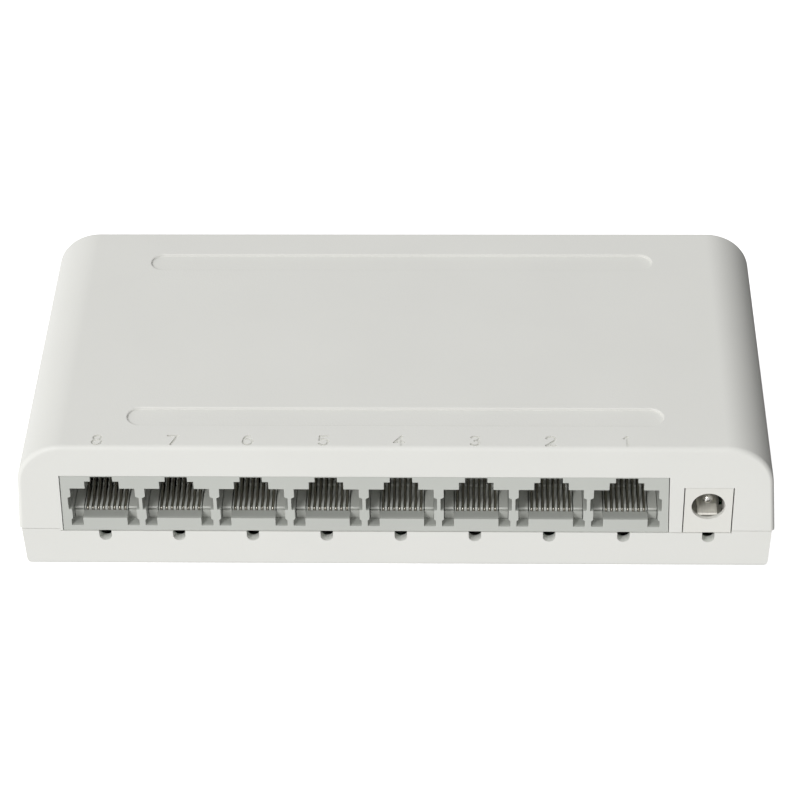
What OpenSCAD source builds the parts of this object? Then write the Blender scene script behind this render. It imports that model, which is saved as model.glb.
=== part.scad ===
// Eight-port desktop network switch with a moulded casing, a ganged modular jack block
// and a barrel power inlet.
// Origin: centre of the footprint on the surface that the feet stand on.
// +X runs along the ports to the right of a viewer facing them, the ports face -Y, +Z is up.

/* [Casing] */
// Width across the side walls at the parting line
case_w = 142.5; // [141.5:0.5:150]
// Depth from the port face to the back
case_d = 68; // [68:0.5:80]
// Height of the upper cover above the board
cover_h = 20.5; // [19:0.5:26]
// Height of the lower cover below the top of the board
base_h = 9; // [9:0.5:12]
// Radius of the cover's long shoulders
shoulder_r = 9; // [8:0.5:12]
// Thickness of both covers
wall = 1.8; // [1.5:0.1:2]
// Moulding draft of the upper cover's side walls, in degrees
cover_draft = 4.4; // [1:0.2:5]
// Moulding draft of the lower cover's walls, in degrees
base_draft = 1.5; // [1:0.5:3]
// Depth of the two shallow grooves in the roof
groove_depth = 0.6; // [0.3:0.1:0.8]

/* [Ports] */
// Spacing of the modular jacks
port_pitch = 13.97; // [13.97:0.01:14.2]
// Middle of the row of jacks, from the middle of the casing
bank_x = -5.7; // [-6:0.1:-5.5]
// Depth of the jack block behind its face
jack_depth = 18; // [16.5:0.5:19]
// Largest downward turn of the spring contacts, in degrees
contact_travel = 10; // [6:1:10]

/* [Power inlet] */
// Middle of the inlet, from the middle of the casing
inlet_x = 58.5; // [58:0.1:58.6]
// Diameter of the mouth of the inlet
inlet_bore = 6.3; // [6:0.1:6.5]
// Diameter of the centre pin
pin_d = 2; // [1.6:0.1:2.1]

/* [Feet and fasteners] */
// Height of the rubber feet below the casing
foot_h = 1.5; // [1:0.1:3]
// Diameter of the rubber feet
foot_d = 9; // [8:0.5:10]
// Diameter of the heads of the cover screws
screw_head_d = 4; // [3.6:0.1:4.2]

/* [Hidden] */
$fn = 48;
eps = 0.02;

// Colours
casing_white = [0.87, 0.87, 0.85];
jack_grey = [0.72, 0.74, 0.71];
inlet_ivory = [0.86, 0.86, 0.83];
metal_bright = [0.80, 0.80, 0.78];
metal_gold = [0.83, 0.70, 0.36];
board_green = [0.10, 0.36, 0.22];
package_black = [0.09, 0.09, 0.10];
rubber_black = [0.25, 0.25, 0.26];
lamp_white = [0.93, 0.93, 0.88];
sleeve_blue = [0.12, 0.14, 0.25];
ferrite_black = [0.22, 0.22, 0.23];
ceramic_brown = [0.62, 0.50, 0.36];

// Casing levels and lines
port_count = 8;
front_y = -case_d / 2;
back_y = case_d / 2;
seat_z = foot_h + base_h;      // top of the board, where the jacks stand
rim_gap = 0.12;                // open joint between the two covers
rim_step = 0.4;                // the parting line is this much higher beside the jacks
roof_z = seat_z + cover_h;
step_w = 63.3;                 // half the width of the lowered stretch of parting line
base_inset = 0.6;             // the lower cover is narrower at each side by this
base_edge_r = 1.2;
base_side_r = 1.8;
lip_t = 0.9;
lip_h = 1.2;
lip_root = 1;
lip_gap = 0.2;
lip_foot = 0.6;                 // how far the root of the lip runs into the wall
rear_lip_l = 112;
side_lip_l = 46;
side_lip_y = 4;
boss_r = 3;
cover_boss_r = 2.6;
boss_pilot_r = 0.95;
boss_places = [[-66.2, -26], [66.2, -26], [-60, 28.3], [60, 28.3]];
shank_r = 0.9;
shank_hole_r = 1.3;
head_h = 1.6;
head_seat_z = foot_h + 3.6;
cover_screw_l = 11;
pilot_depth = 9;
tip_l = 1;                      // length of a screw's pointed end

// Roof details, measured back from the port face
groove_l = 100;
groove_w = 5.5;
groove_front = 9;
groove_back = 57.8;
numeral_h = 2.8;
numeral_w = 1.9;
numeral_stroke = 0.45;
numeral_depth = 0.3;
numeral_back = 2.2;
mark_shift = -0.25;            // numerals and lamp notches sit this far from the port centres
power_mark_shift = 0.35;       // and the power lamp this far from the inlet's centre

// Board
board_t = 1.6;
board_w = 126;
board_front = front_y + wall + 0.6;
board_back = 24;
board_z = seat_z - board_t;
standoff_r = 2.6;
board_screw_places = [[-56, 18], [56, 18]];
board_rest_places = [[-50, -24], [48, -24]];
board_screw_l = 6;
board_screw_r = 0.75;
board_screw_head_d = 4.2;
board_screw_head_h = 1.4;
board_screw_hole_r = 1.2;
board_pilot_r = 0.8;
vent_w = 1.6;
vent_l = 16;
vent_pitch = 4;
vent_count = 12;
vent_y = 6;
foot_inset = [20.25, 11];
foot_sink = 0.5;                // depth of the recess that holds a foot

// Lamp notches and lamps
notch_r = 1.175;
notch_depth = 2.45;
lamp_set = 1.6;                 // the lamps stand this far behind the edge of the board
lamp_w = 1.6;
lamp_d = 0.8;
lamp_h = 0.8;

// Jack block, in a frame whose x is the port's middle, y runs inwards and z rises from the board
bank_w = 114;
bank_h = 13.4;
bank_taper = 0.4;               // the block is narrower at the top by this at each end
face_set = 0.12;               // the jacks stand this far behind the casing's face
window_gap = 0.15;
inlet_gap = 0.22;
cavity_half = 6.05;
cavity_top = 10.32;
ledge_half = 3.2;
ledge_top = 12.05;
latch_half = 2.07;
latch_top = 13.2;
latch_depth = 9;
ear_half = 6.65;
ear_low = 5.2;
ear_high = 8;
ear_depth = 6.5;
leg_inner = 4.18;
leg_floor = 1.25;
leg_flare = 0.35;
leg_flare_top = 2.6;
sill_top = 3.1;
sill_depth = 2.35;
peg_r = 1.6;
peg_y = 6.4;
peg_l = 2.6;

// Contact carriers
carrier_half = 5.95;
carrier_front = 2.45;
carrier_floor = 3.75;
comb_foot_y = 8.6;
comb_foot_z = 4.35;
comb_y = 9.8;
comb_back = 13.4;
comb_top = 9.6;
shoulder_groove_low = 2.95;
shoulder_groove_h = 0.45;
shoulder_groove_d = 0.6;
side_slit_x = 4.15;            // slit between the comb and each shoulder
side_slit_w = 0.22;
side_slit_low = 2.4;
wire_run_low = 2.25;

// Contact wires
wire_pitch = 1.016;
wire_count = 8;
wire_t = 0.42;
wire_slot = 0.56;
bend = [3, 3.1];               // depth and height of the front bend's centre
bend_r = 0.5;                  // to the wire's middle
wire_slope = 24;
wire_free_l = 9.6;
lead_gap = 6;                  // degrees of bend left open between lead and contact
tail_rows = [13.2, 15.74];
tail_hole_r = 0.42;
tail_z = -board_t - 1.2;

// Power inlet, in a frame whose x is the inlet's middle, y runs inwards and z rises from the board
inlet_w = 8.9;
inlet_h = 10.9;
inlet_depth = 14.2;
inlet_axis = 6.45;
inlet_bore_depth = 10.6;
inlet_lip = 0.8;                // thickness of the wall around the mouth
inlet_slot_half = 3.15;
inlet_slot_low = 1.55;
tail_slot_y = 10.1;
pin_tip_y = 1.5;
pin_dimple_r = 0.3;
pin_dimple_depth = 1.2;
pin_shank_r = 0.8;
pin_shank_gap = 0.05;
pin_plate_y = 13;
pin_plate = [2.4, 0.3];
pin_plate_top = 7.2;
leaf_w = 3.7;
leaf_t = 0.35;
leaf_hinge = [11.2, 2.6];      // depth and height of the leaf's root
leaf_gap = 0.08;
leaf_tail_y = 10.7;
leaf_tail_w = 2.4;
switch_tail_x = 3.55;
switch_tail_y = 6.4;
switch_tail = [0.3, 2.4, 3.75];
board_slot = [2.8, 0.9];

// Parts on the board
chip = [20, 14, 2.7];
chip_at = [6, 7];
chip_pitch = 0.65;
chip_pins_long = 30;
chip_pins_short = 20;
transformer = [15.8, 9.4, 5.8];
transformer_y = -8;
transformer_x0 = -48;
transformer_step = 26;
transformer_pitch = 1.27;
transformer_pins = 12;
crystal_at = [-14, 17];
memory = [5, 4, 1.5];
memory_at = [-27, 12];
regulator = [6.5, 3.6, 1.6];
regulator_at = [40, 13];
inductor = [7, 7, 4];
inductor_at = [44, 2];
stand_off = 0.1;
capacitors = [[[57, -12], 8, 11.5], [[57, -1], 8, 11.5], [[47, 12], 6.3, 8]];  // place, diameter, height
// Rows of small parts: first place, count, step and turn
resistor_rows = [[[-44, 0.5], 12, [2.4, 0], 90], [[-42, 8], 8, [3, 0], 0], [[26, 16], 4, [2.4, 0], 90]];
ceramic_rows = [[[-2, 19], 8, [2.6, 0], 90], [[20, 0], 6, [2.4, 0], 90], [[-9, 2], 4, [0, 2.6], 0]];
chip_size = [1.6, 0.8, 0.45];
gull_lead_z = 1.3;
chip_pin_w = 0.3;
transformer_lead_z = 1.6;

function port_x(n) = bank_x + ((port_count + 1) / 2 - n) * port_pitch;

// Placement and extrusion helpers

module on_board(p) {
    translate([p[0], p[1], seat_z]) children();
}

module at_face(x) {
    translate([x, front_y + face_set, seat_z]) children();
}

// A profile drawn in x and z, run inwards along y
module run_inwards(start, length) {
    translate([0, start + length, 0]) rotate([90, 0, 0]) linear_extrude(length) children();
}

// A profile drawn in y and z, with the given width across x
module run_across(width) {
    rotate([90, 0, 90]) linear_extrude(width, center = true) children();
}

// Outline with a flat foot, drafted sides and rounded upper corners
module arch(half_w, height, draft, radius) {
    centre = [half_w - (radius + (height - radius) * sin(draft)) / cos(draft), height - radius];
    side = centre + radius * [cos(draft), sin(draft)];
    intersection() {
        union() {
            polygon([
                [-half_w, 0], [half_w, 0], side, [centre[0], height],
                [-centre[0], height], [-side[0], side[1]]
            ]);
            for (s = [-1, 1]) translate([s * centre[0], centre[1]]) circle(radius);
        }
        translate([-half_w, 0]) square([2 * half_w, height]);
    }
}

// Casing

module cover_outline(inset) {
    arch(case_w / 2 - inset, cover_h - inset, cover_draft, shoulder_r - inset);
}

module roof_groove(back) {
    half = groove_l / 2 - groove_w / 2;
    translate([0, front_y + back, roof_z - groove_depth]) {
        translate([-half, -groove_w / 2, 0]) cube([2 * half, groove_w, groove_depth + 1]);
        for (s = [-1, 1]) translate([s * half, 0, 0]) cylinder(r = groove_w / 2, h = groove_depth + 1);
    }
}

module stroke(a, b) {
    translate(a) rotate(atan2(b[1] - a[1], b[0] - a[0]))
        translate([-numeral_stroke / 2, -numeral_stroke / 2])
            square([norm(b - a) + numeral_stroke, numeral_stroke]);
}

module bow(centre, radius, from, to) {
    steps = 8;
    turn = (to - from) / steps;
    rim = [for (i = [0:steps]) centre + radius * [cos(from + i * turn), sin(from + i * turn)]];
    inner = radius - numeral_stroke;
    core = [for (i = [steps:-1:0]) centre + inner * [cos(from + i * turn), sin(from + i * turn)]];
    polygon(concat(rim, core));
}

module loop(centre, radius) {
    translate(centre) difference() {
        circle(radius, $fn = 24);
        circle(radius - numeral_stroke, $fn = 24);
    }
}

// Plain digits, each centred on the origin
module numeral(n) {
    w = numeral_w / 2 - numeral_stroke / 2;
    h = numeral_h / 2 - numeral_stroke / 2;
    r = numeral_w / 2;
    top = numeral_h / 2;
    if (n == 1) {
        stroke([0.2, -h], [0.2, h]);
        stroke([-0.45, h - 0.5], [0.1, h]);
    }
    if (n == 2) {
        bow([0, top - r], r, -25, 170);
        stroke([-w, -h], [w, -h]);
        stroke([-w, -h], [w - 0.12, top - r - 0.3]);
    }
    if (n == 3) {
        bow([0, top - 0.78], 0.78, -80, 165);
        bow([0, 0.82 - top], 0.82, -165, 80);
    }
    if (n == 4) {
        stroke([0.35, -h], [0.35, h]);
        stroke([-w, -0.5], [w, -0.5]);
        stroke([-w, -0.5], [0.3, h]);
    }
    if (n == 5) {
        stroke([-w + 0.1, h], [w, h]);
        stroke([-w + 0.1, 0.15], [-w + 0.1, h]);
        bow([-0.05, r - top], r, -150, 125);
    }
    if (n == 6) {
        loop([0, 0.85 - top], 0.85);
        bow([0.65, -0.45], 1.5, 115, 178);
    }
    if (n == 7) {
        stroke([-w, h], [w, h]);
        stroke([-0.3, -h], [w, h]);
    }
    if (n == 8) {
        loop([0, top - 0.72], 0.72);
        loop([0, 0.82 - top], 0.82);
    }
}

module cover_bosses() {
    for (p = boss_places)
        translate([p[0], p[1], seat_z + rim_step]) cylinder(r = cover_boss_r, h = cover_h);
}

// The jack block's section, and with a gap that of the window around it
module bank_outline(low, gap) {
    half = bank_w / 2 + gap;
    top = bank_h + gap;
    polygon([[-half, low], [half, low], [half - bank_taper, top], [bank_taper - half, top]]);
}

module port_window() {
    translate([bank_x, front_y, seat_z]) run_inwards(-1, wall + 2) bank_outline(-1, window_gap);
}

module inlet_window() {
    half = inlet_w / 2 + inlet_gap;
    translate([inlet_x - half, front_y - 1, seat_z - 1]) cube([2 * half, wall + 2, inlet_h + window_gap + 1]);
}

module top_cover() {
    color(casing_white) difference() {
        union() {
            translate([0, front_y, seat_z]) intersection() {
                run_inwards(0, case_d) cover_outline(0);
                translate([-case_w, -1, rim_step + rim_gap]) cube([2 * case_w, case_d + 2, cover_h]);
            }
            translate([-step_w, front_y, seat_z + 0.05]) cube([2 * step_w, wall, rim_step + 2 * rim_gap]);
        }
        difference() {
            translate([0, front_y, seat_z]) run_inwards(wall, case_d - 2 * wall) cover_outline(wall);
            cover_bosses();
        }
        for (p = boss_places) translate([p[0], p[1], seat_z]) cylinder(r = boss_pilot_r, h = pilot_depth);
        port_window();
        inlet_window();
        roof_groove(groove_front);
        roof_groove(groove_back);
        for (n = [1:port_count])
            translate([port_x(n) + mark_shift, front_y + numeral_back, roof_z - numeral_depth])
                linear_extrude(1) numeral(n);
    }
}

// The lower cover's outside, with drafted walls and rounded lower edges
module base_block(inset) {
    height = base_h + rim_step - inset;
    intersection() {
        translate([0, front_y - 1, seat_z + rim_step]) mirror([0, 0, 1])
            run_inwards(0, case_d + 2) arch(case_w / 2 - base_inset - inset, height, base_draft, base_side_r);
        translate([0, 0, seat_z + rim_step]) mirror([0, 0, 1])
            run_across(case_w) arch(case_d / 2 - inset, height, base_draft, base_edge_r);
    }
}

module lamp_notch(x) {
    translate([x, front_y - 1, seat_z - notch_depth + notch_r]) {
        rotate([-90, 0, 0]) cylinder(r = notch_r, h = wall + 2);
        translate([-notch_r, 0, 0]) cube([2 * notch_r, wall + 2, notch_depth + 1]);
    }
}

// A tongue that stands inside the upper cover, with a root that joins it to the wall below
module lip_bar(length) {
    translate([-length / 2, -lip_t, seat_z + rim_step - lip_root]) {
        cube([length, lip_t, lip_root + lip_h]);
        cube([length, lip_t + lip_gap + lip_foot, lip_root - lip_gap]);
    }
}

module base_lip() {
    half_w = case_w / 2 - wall - lip_gap;
    half_d = case_d / 2 - wall - lip_gap;
    translate([0, half_d, 0]) lip_bar(rear_lip_l);
    for (s = [-1, 1]) translate([s * half_w, side_lip_y, 0]) rotate(-90 * s) lip_bar(side_lip_l);
}

module bottom_cover() {
    floor_z = foot_h + wall;
    color(casing_white) difference() {
        union() {
            difference() {
                base_block(0);
                intersection() {
                    base_block(wall);
                    translate([-case_w, -case_d, floor_z]) cube([2 * case_w, 2 * case_d, base_h + 5]);
                }
            }
            for (p = boss_places)
                translate([p[0], p[1], floor_z - eps]) cylinder(r = boss_r, h = seat_z + rim_step - floor_z);
            for (p = concat(board_screw_places, board_rest_places))
                translate([p[0], p[1], floor_z - eps]) cylinder(r = standoff_r, h = board_z - floor_z + eps);
            base_lip();
        }
        translate([-step_w, front_y - 1, seat_z - rim_gap]) cube([2 * step_w, wall + 1.4, rim_step + 1]);
        for (n = [1:port_count]) lamp_notch(port_x(n) + mark_shift);
        lamp_notch(inlet_x + power_mark_shift);
        for (p = boss_places) translate([p[0], p[1], foot_h - 1]) {
            cylinder(r = screw_head_d / 2 + 0.2, h = head_seat_z - foot_h + 1);
            cylinder(r = shank_hole_r, h = base_h + 3);
        }
        for (p = board_screw_places) translate([p[0], p[1], floor_z]) cylinder(r = board_pilot_r, h = base_h);
        for (i = [0:3])
            translate(foot_place(i) - [0, 0, 1]) cylinder(r = foot_d / 2 + 0.2, h = foot_h + foot_sink + 1);
        for (i = [0:vent_count - 1])
            translate([(i - (vent_count - 1) / 2) * vent_pitch - vent_w / 2, vent_y - vent_l / 2, foot_h - 1])
                cube([vent_w, vent_l, wall + 2]);
    }
}

function foot_place(i) = [
    (i % 2 == 0 ? -1 : 1) * (case_w / 2 - foot_inset[0]), (i < 2 ? -1 : 1) * (case_d / 2 - foot_inset[1]), 0
];

module foot(i) {
    r = foot_d / 2;
    top = foot_h + foot_sink;
    color(rubber_black) translate(foot_place(i))
        rotate_extrude() polygon([[0, 0], [r - 0.5, 0], [r - 0.1, 0.4], [r, top], [0, top]]);
}

// A pan-head screw that points up, with the underside of its head at the origin
module screw(head_d, head, shaft_r, length) {
    difference() {
        union() {
            translate([0, 0, -head]) cylinder(d1 = head_d - 0.6, d2 = head_d, h = head);
            translate([0, 0, -eps]) cylinder(r = shaft_r, h = length - tip_l);
            translate([0, 0, length - tip_l - 2 * eps]) cylinder(r1 = shaft_r, r2 = 0.3, h = tip_l);
        }
        for (a = [0, 90])
            rotate(a) translate([-head_d * 0.3, -0.25, -head - 1]) cube([head_d * 0.6, 0.5, 1.8]);
    }
}

module cover_screws() {
    color(metal_bright) for (p = boss_places)
        translate([p[0], p[1], head_seat_z]) screw(screw_head_d, head_h, shank_r, cover_screw_l);
}

module board_screws() {
    color(metal_bright) for (p = board_screw_places)
        on_board(p) mirror([0, 0, 1])
            screw(board_screw_head_d, board_screw_head_h, board_screw_r, board_screw_l);
}

// Board

module circuit_board() {
    color(board_green) difference() {
        translate([-board_w / 2, board_front, board_z]) cube([board_w, board_back - board_front, board_t]);
        for (n = [1:port_count], i = [0:wire_count - 1])
            at_face(port_x(n)) translate([wire_x(i), tail_rows[i % 2], -board_t - 1])
                cylinder(r = tail_hole_r, h = board_t + 2, $fn = 16);
        for (k = [-3:2:3])
            at_face(bank_x + k * port_pitch) translate([0, peg_y, -board_t - 1])
                cylinder(r = peg_r + 0.1, h = board_t + 2);
        at_face(inlet_x) {
            for (y = [pin_plate_y + pin_plate[1] / 2, leaf_tail_y + leaf_t / 2])
                translate([-board_slot[0] / 2, y - board_slot[1] / 2, -board_t - 1])
                    cube([board_slot[0], board_slot[1], board_t + 2]);
            translate([
                switch_tail_x + (switch_tail[0] - board_slot[1]) / 2, switch_tail_y - 0.2, -board_t - 1
            ])
                cube([board_slot[1], board_slot[0], board_t + 2]);
        }
        for (p = board_screw_places) translate([p[0], p[1], 0]) cylinder(r = board_screw_hole_r, h = roof_z);
    }
}

// Jacks

function wire_x(i) = (i - (wire_count - 1) / 2) * wire_pitch;

// What the front of one port is cut to
module port_mouth() {
    polygon([
        [-cavity_half, leg_flare_top + leg_flare], [-cavity_half, cavity_top],
        [-ledge_half, cavity_top], [-ledge_half, ledge_top], [-latch_half, ledge_top],
        [-latch_half, latch_top], [latch_half, latch_top], [latch_half, ledge_top],
        [ledge_half, ledge_top], [ledge_half, cavity_top], [cavity_half, cavity_top],
        [cavity_half, leg_flare_top + leg_flare], [cavity_half + leg_flare, leg_flare_top],
        [cavity_half + leg_flare, leg_floor], [leg_inner, leg_floor], [leg_inner, sill_top],
        [-leg_inner, sill_top], [-leg_inner, leg_floor], [-cavity_half - leg_flare, leg_floor],
        [-cavity_half - leg_flare, leg_flare_top]
    ]);
}

module port_cavity() {
    run_inwards(-1, sill_depth + 1) port_mouth();
    for (s = [0, 1]) mirror([s, 0, 0]) run_inwards(-1, ear_depth + 1) polygon([
        [cavity_half - 0.5, ear_low], [ear_half, ear_low], [ear_half, ear_high],
        [cavity_half, ear_high + 0.35], [cavity_half - 0.5, ear_high + 0.35]
    ]);
    translate([-ledge_half, sill_depth - 0.5, cavity_top - 0.5])
        cube([2 * ledge_half, latch_depth - sill_depth + 0.5, ledge_top - cavity_top + 0.5]);
    translate([-latch_half, sill_depth - 0.5, ledge_top - 0.5])
        cube([2 * latch_half, latch_depth - sill_depth + 0.5, latch_top - ledge_top + 0.5]);
    translate([-cavity_half, sill_depth, -1])
        cube([2 * cavity_half, jack_depth - sill_depth + 1, cavity_top + 1]);
}

module jack_housing() {
    color(jack_grey) difference() {
        union() {
            at_face(bank_x) run_inwards(0, jack_depth) bank_outline(0, 0);
            for (k = [-3:2:3])
                at_face(bank_x + k * port_pitch)
                    translate([0, peg_y, -peg_l]) cylinder(r = peg_r, h = peg_l + 1);
        }
        for (n = [1:port_count]) at_face(port_x(n)) port_cavity();
    }
}

// The insert that holds one port's wires, with a groove for each and a comb at the back
module carrier() {
    shoulder_w = carrier_half - leg_inner;
    difference() {
        run_across(2 * carrier_half) polygon([
            [carrier_front, 0], [jack_depth - 0.2, 0], [jack_depth - 0.2, cavity_top - 0.4],
            [comb_back, comb_top], [comb_y, comb_top], [comb_y, comb_foot_z],
            [comb_foot_y, comb_foot_z], [comb_foot_y, carrier_floor],
            [carrier_front + 0.2, carrier_floor], [carrier_front, carrier_floor - 0.2]
        ]);
        for (i = [0:wire_count - 1]) translate([wire_x(i), 0, 0]) run_across(wire_slot) polygon([
            [carrier_front - 1, wire_run_low], [tail_rows[0] - 0.4, wire_run_low], [tail_rows[0] - 0.4, -1],
            [tail_rows[1] + 0.4, -1], [tail_rows[1] + 0.4, sill_top], [comb_back, sill_top],
            [comb_back, comb_top + 1], [carrier_front - 1, comb_top + 1]
        ]);
        for (s = [-1, 1]) {
            translate([s * side_slit_x - side_slit_w / 2, carrier_front - 1, side_slit_low])
                cube([side_slit_w, comb_y - carrier_front + 1 + eps, comb_top]);
            translate([s * (leg_inner + carrier_half) / 2, carrier_front - 0.5, shoulder_groove_low])
                translate([-shoulder_w / 2 - 0.2, 0, 0])
                    cube([shoulder_w + 0.4, shoulder_groove_d + 0.5, shoulder_groove_h]);
        }
    }
}

module contact_carriers() {
    color(jack_grey) for (n = [1:port_count]) at_face(port_x(n)) carrier();
}

// Part of the front bend of a wire, between two angles
module bend_arc(from, to) {
    reach = 3;
    middle = (from + to) / 2;
    translate(bend) intersection() {
        difference() {
            circle(bend_r + wire_t / 2, $fn = 32);
            circle(bend_r - wire_t / 2, $fn = 32);
        }
        polygon([
            [0, 0], reach * [cos(from), sin(from)], reach * [cos(middle), sin(middle)],
            reach * [cos(to), sin(to)]
        ]);
    }
}

// The free, springing end of a wire: the upper half of the bend and the slope behind it
module contact_wire() {
    run_across(wire_t) {
        bend_arc(90 + wire_slope, 180);
        translate(bend) rotate(wire_slope)
            translate([-eps, bend_r - wire_t / 2]) square([wire_free_l, wire_t]);
    }
}

// The fixed end: the lower half of the bend, the run under the floor and the solder tail
module lead_wire(row) {
    low = bend[1] - bend_r - wire_t / 2;
    run_across(wire_t) {
        bend_arc(180 + lead_gap, 270);
        translate([bend[0] - eps, low]) square([row - bend[0] + wire_t / 2, wire_t]);
        translate([row - wire_t / 2, tail_z]) square([wire_t, low + wire_t - tail_z]);
    }
}

module port_contacts(n) {
    color(metal_gold) at_face(port_x(n))
        for (i = [0:wire_count - 1]) translate([wire_x(i), 0, 0]) contact_wire();
}

module port_leads(n) {
    color(metal_gold) at_face(port_x(n))
        for (i = [0:wire_count - 1]) translate([wire_x(i), 0, 0]) lead_wire(tail_rows[i % 2]);
}

// Surface-mounted lamp under the front edge of the board
module lamp(x) {
    place = [x, board_front + lamp_set + lamp_d / 2, board_z];
    color(lamp_white) translate(place) mirror([0, 0, 1]) {
        translate([-lamp_w / 2, -lamp_d / 2, 0]) cube([lamp_w, lamp_d, 0.3]);
        translate([-lamp_w / 2 + 0.25, -lamp_d / 2, 0]) cube([lamp_w - 0.5, lamp_d, lamp_h]);
    }
}

// Power inlet

// A hole along the inlet's axis, from y inwards
module inlet_hole(y, r) {
    translate([0, y, inlet_axis]) rotate([-90, 0, 0]) cylinder(r = r, h = inlet_depth);
}

module inlet_housing() {
    pocket_end = inlet_bore_depth + 1;
    tail_slot_half = leaf_w / 2 + 0.4;
    color(inlet_ivory) at_face(inlet_x) difference() {
        translate([-inlet_w / 2, 0, 0]) cube([inlet_w, inlet_depth, inlet_h]);
        translate([0, -1, inlet_axis]) rotate([-90, 0, 0]) cylinder(d = inlet_bore, h = inlet_bore_depth + 1);
        translate([-inlet_slot_half, inlet_lip, inlet_slot_low])
            cube([2 * inlet_slot_half, pocket_end - inlet_lip, inlet_axis - inlet_slot_low]);
        translate([-tail_slot_half, tail_slot_y, -1]) cube([2 * tail_slot_half, 1.9, inlet_axis]);
        inlet_hole(inlet_bore_depth - 1, pin_shank_r + pin_shank_gap);
        translate([-board_slot[0] / 2, pin_plate_y - 0.2, -1]) cube([board_slot[0], 2, pin_plate_top + 1.2]);
        translate([inlet_slot_half - 0.5, switch_tail_y - 0.2, -1])
            cube([3, board_slot[0], inlet_slot_low + 3.4]);
    }
}

module inlet_pin() {
    r = pin_d / 2;
    body_l = inlet_bore_depth - 0.1 - pin_tip_y;
    shank_l = pin_plate_y + pin_plate[1] - 0.1 - pin_tip_y;
    color(metal_bright) at_face(inlet_x) {
        translate([0, pin_tip_y, inlet_axis]) rotate([-90, 0, 0]) difference() {
            union() {
                translate([0, 0, r]) cylinder(r = r, h = body_l - r);
                translate([0, 0, 2 * r]) cylinder(r = pin_shank_r, h = shank_l - 2 * r);
                intersection() {
                    translate([0, 0, r]) sphere(r);
                    translate([0, 0, r / 2]) cube([2 * r, 2 * r, r], center = true);
                }
            }
            translate([0, 0, -1]) cylinder(r = pin_dimple_r, h = pin_dimple_depth + 1);
        }
        translate([-pin_plate[0] / 2, pin_plate_y, tail_z - 0.4])
            cube([pin_plate[0], pin_plate[1], pin_plate_top + 0.4 - tail_z]);
    }
}

// Strip that presses up on the barrel of a plug and hinges on its rolled root
module inlet_spring() {
    color(metal_bright) at_face(inlet_x) run_across(leaf_w) {
        polygon([
            leaf_hinge + [0, leaf_t / 2], [6.5, 3.5], [2.7, 4.15], [1.75, 3.75], [1.25, 3.85], [0.95, 3.6],
            [1, 3.35], [1.3, 3.5], [1.8, 3.4], [2.7, 3.75], [6.5, 3.15], leaf_hinge - [0, leaf_t / 2]
        ]);
        translate(leaf_hinge) circle(leaf_t / 2);
    }
}

// Bracket behind the root of the leaf, with a tail through the board
module inlet_ground_tail() {
    front = leaf_tail_y;
    back = leaf_hinge[0] + leaf_t / 2 + leaf_gap;
    low = leaf_hinge[1] - leaf_t / 2 - 0.2;
    color(metal_bright) at_face(inlet_x) run_across(leaf_tail_w) polygon([
        [front, tail_z], [front + leaf_t, tail_z], [front + leaf_t, low - leaf_t],
        [back + leaf_t, low - leaf_t], [back + leaf_t, leaf_hinge[1] + leaf_t],
        [back, leaf_hinge[1] + leaf_t], [back, low], [front, low]
    ]);
}

module inlet_switch_tail() {
    color(metal_bright) at_face(inlet_x) translate([switch_tail_x, switch_tail_y, tail_z])
        cube([switch_tail[0], switch_tail[1], switch_tail[2] - tail_z]);
}

// Parts on the board

module package(size, at) {
    color(package_black) on_board(at) translate([0, 0, stand_off + size[2] / 2]) cube(size, center = true);
}

// One gull-wing pin that leaves a package towards +x
module gull_pin(width, lead_z) {
    t = 0.15;
    translate([0, width / 2, 0]) rotate([90, 0, 0]) linear_extrude(width) polygon([
        [0, lead_z], [0.5, lead_z], [0.75, t], [1.4, t], [1.4, 0], [0.65, 0], [0.4, lead_z - t],
        [0, lead_z - t]
    ]);
}

module pin_row(count, pitch, width, lead_z) {
    for (i = [0:count - 1]) translate([0, (i - (count - 1) / 2) * pitch, 0]) gull_pin(width, lead_z);
}

module switch_chip_pins() {
    color(metal_bright) on_board(chip_at) {
        for (a = [0, 180]) rotate(a) translate([chip[0] / 2, 0, 0])
            pin_row(chip_pins_short, chip_pitch, chip_pin_w, gull_lead_z);
        for (a = [90, 270]) rotate(a) translate([chip[1] / 2, 0, 0])
            pin_row(chip_pins_long, chip_pitch, chip_pin_w, gull_lead_z);
    }
}

function transformer_at(k) = [transformer_x0 + (k - 1) * transformer_step, transformer_y];

module transformer_pins() {
    color(metal_bright) for (k = [1:4], a = [90, 270])
        on_board(transformer_at(k)) rotate(a) translate([transformer[1] / 2, 0, 0])
            pin_row(transformer_pins, transformer_pitch, 0.4, transformer_lead_z);
}

module small_chip_pins() {
    color(metal_bright) {
        for (a = [90, 270]) on_board(memory_at) rotate(a) translate([memory[1] / 2, 0, 0])
            pin_row(4, 1.27, 0.4, 0.8);
        on_board(regulator_at) rotate(270) translate([regulator[1] / 2, 0, 0]) pin_row(3, 2.3, 0.7, 0.9);
        on_board(regulator_at) rotate(90) translate([regulator[1] / 2, 0, 0]) pin_row(1, 1, 3, 0.9);
    }
}

module crystal() {
    color(metal_bright) on_board(crystal_at) translate([0, 0, stand_off]) {
        translate([-5.5, -2.3, 0]) cube([11, 4.6, 0.6]);
        translate([-3.3, -1.9, 0]) cube([6.6, 3.8, 3.5]);
        for (s = [-1, 1]) translate([s * 3.3, 0, 0]) cylinder(r = 1.9, h = 3.5);
    }
}

module capacitor(place) {
    r = place[1] / 2;
    h = place[2];
    color(sleeve_blue) on_board(place[0]) rotate_extrude() polygon([
        [0, 0.05], [r - 0.3, 0.05], [r, 0.35], [r, 0.9], [r - 0.25, 1.2], [r, 1.5], [r, h - 0.3],
        [r - 0.3, h], [r - 0.8, h], [r - 1, h - 0.2], [0, h - 0.2]
    ]);
}

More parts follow.
